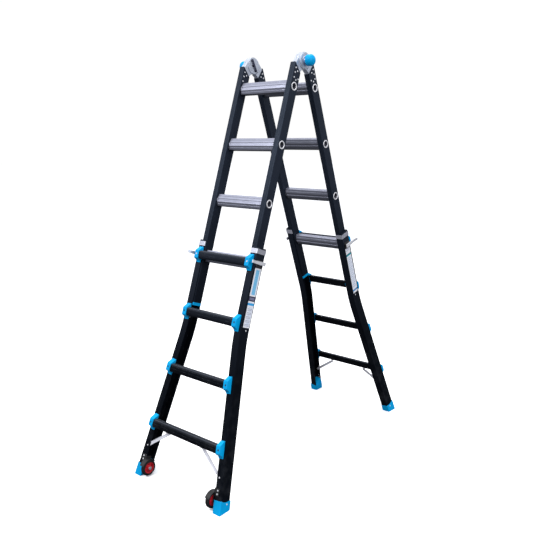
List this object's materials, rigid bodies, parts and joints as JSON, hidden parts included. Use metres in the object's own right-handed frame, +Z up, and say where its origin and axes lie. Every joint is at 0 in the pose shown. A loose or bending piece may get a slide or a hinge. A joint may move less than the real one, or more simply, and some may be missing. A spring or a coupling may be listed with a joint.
{
  "type": "multi position ladder",
  "caption": "Multi position telescopic ladder standing as a stepladder: black rails, aluminium rungs, splayed outer rails with treads, blue hinge knobs and feet, tip-and-roll wheels.",
  "frame": {"origin": "on the ground midway between the four feet, below the hinge pivot", "axes": "+X along the hinge pivot, -Y toward the climbing side with the wheels, +Z up"},
  "size_m": [0.5888, 1.5011, 1.995],
  "materials": {
    "rail_paint": "satin black powder coat on extruded aluminium",
    "tread_paint": "satin black powder coat on extruded aluminium",
    "rung_metal": "extruded, mill finish",
    "blue_plastic": "moulded, semi gloss",
    "hinge_casting": "die cast, bead blasted",
    "bright_steel": "zinc plated",
    "rivet_metal": "bright",
    "spring_steel": "drawn wire",
    "dark_plastic": "moulded",
    "tyre": "moulded rubber",
    "hub_red": "moulded",
    "plate_white": "printed film, blank"
  },
  "bodies": {
    "front_inner": {"front_inner_rail_left": "rail_paint", "front_inner_rail_right": "rail_paint", "front_inner_rungs": "rung_metal", "front_rail_plugs": "blue_plastic", "hinge_fork_left": "hinge_casting", "hinge_fork_right": "hinge_casting", "front_hinge_rivets": "rivet_metal", "hinge_pivot_pins": "bright_steel", "hinge_washers": "bright_steel", "hinge_springs": "spring_steel"},
    "rear_inner": {"rear_inner_rail_left": "rail_paint", "rear_inner_rail_right": "rail_paint", "rear_inner_rungs": "rung_metal", "rear_rail_plugs": "blue_plastic", "hinge_tongue_left": "hinge_casting", "hinge_tongue_right": "hinge_casting", "rear_hinge_rivets": "rivet_metal"},
    "knob_left": {"hinge_knob_left": "blue_plastic", "hinge_lock_left": "bright_steel"},
    "knob_right": {"hinge_knob_right": "blue_plastic", "hinge_lock_right": "bright_steel"},
    "front_outer": {"front_outer_rail_left": "rail_paint", "front_outer_rail_right": "rail_paint", "front_treads": "tread_paint", "front_tread_brackets": "blue_plastic", "front_tread_screws": "rivet_metal", "front_guide_straps": "bright_steel", "front_guide_pads": "dark_plastic", "front_lock_housings": "dark_plastic", "front_lock_spring_left": "spring_steel", "front_lock_spring_right": "spring_steel", "front_feet": "blue_plastic", "front_braces": "bright_steel", "wheel_brackets": "tread_paint", "wheel_axles": "bright_steel", "front_rivets": "rivet_metal", "front_labels": "plate_white"},
    "rear_outer": {"rear_outer_rail_left": "rail_paint", "rear_outer_rail_right": "rail_paint", "rear_treads": "tread_paint", "rear_tread_brackets": "blue_plastic", "rear_tread_screws": "rivet_metal", "rear_guide_straps": "bright_steel", "rear_guide_pads": "dark_plastic", "rear_lock_housings": "dark_plastic", "rear_lock_spring_left": "spring_steel", "rear_lock_spring_right": "spring_steel", "rear_feet": "blue_plastic", "rear_braces": "bright_steel", "rear_rivets": "rivet_metal", "rear_labels": "plate_white"},
    "wheel_left": {"tyre_left": "tyre", "wheel_hub_left": "hub_red"},
    "wheel_right": {"tyre_right": "tyre", "wheel_hub_right": "hub_red"},
    "front_lock_left": {"front_lock_left": "bright_steel"},
    "front_lock_right": {"front_lock_right": "bright_steel"},
    "rear_lock_left": {"rear_lock_left": "bright_steel"},
    "rear_lock_right": {"rear_lock_right": "bright_steel"}
  },
  "joints": [
    {"name": "main_hinge", "type": "hinge", "parent": "front_inner", "child": "rear_inner", "pos_m": [0, 0, 1.955], "axis": [1, 0, 0], "range_deg": [-38, 142], "stiffness_Nm_per_rad": 2500},
    {"name": "front_extend", "type": "slide", "parent": "front_inner", "child": "front_outer", "axis": [0, 0.3256, 0.9455], "range_m": [0, 0.84], "stiffness_N_per_m": 30000},
    {"name": "rear_extend", "type": "slide", "parent": "rear_inner", "child": "rear_outer", "axis": [0, -0.3256, 0.9455], "range_m": [0, 0.84], "stiffness_N_per_m": 30000},
    {"name": "front_lock_left", "type": "slide", "parent": "front_outer", "child": "front_lock_left", "axis": [1, 0, 0], "range_m": [0, 0.006]},
    {"name": "front_lock_right", "type": "slide", "parent": "front_outer", "child": "front_lock_right", "axis": [-1, 0, 0], "range_m": [0, 0.006]},
    {"name": "rear_lock_left", "type": "slide", "parent": "rear_outer", "child": "rear_lock_left", "axis": [1, 0, 0], "range_m": [0, 0.006]},
    {"name": "rear_lock_right", "type": "slide", "parent": "rear_outer", "child": "rear_lock_right", "axis": [-1, 0, 0], "range_m": [0, 0.006]},
    {"name": "knob_left", "type": "slide", "parent": "front_inner", "child": "knob_left", "axis": [-1, 0, 0], "range_m": [0, 0.011]},
    {"name": "knob_right", "type": "slide", "parent": "front_inner", "child": "knob_right", "axis": [1, 0, 0], "range_m": [0, 0.011]},
    {"name": "wheel_left", "type": "hinge", "parent": "front_outer", "child": "wheel_left", "pos_m": [-0.222, -0.71601, 0.04294], "axis": [1, 0, 0], "continuous": true},
    {"name": "wheel_right", "type": "hinge", "parent": "front_outer", "child": "wheel_right", "pos_m": [0.222, -0.71601, 0.04294], "axis": [1, 0, 0], "continuous": true}
  ]
}
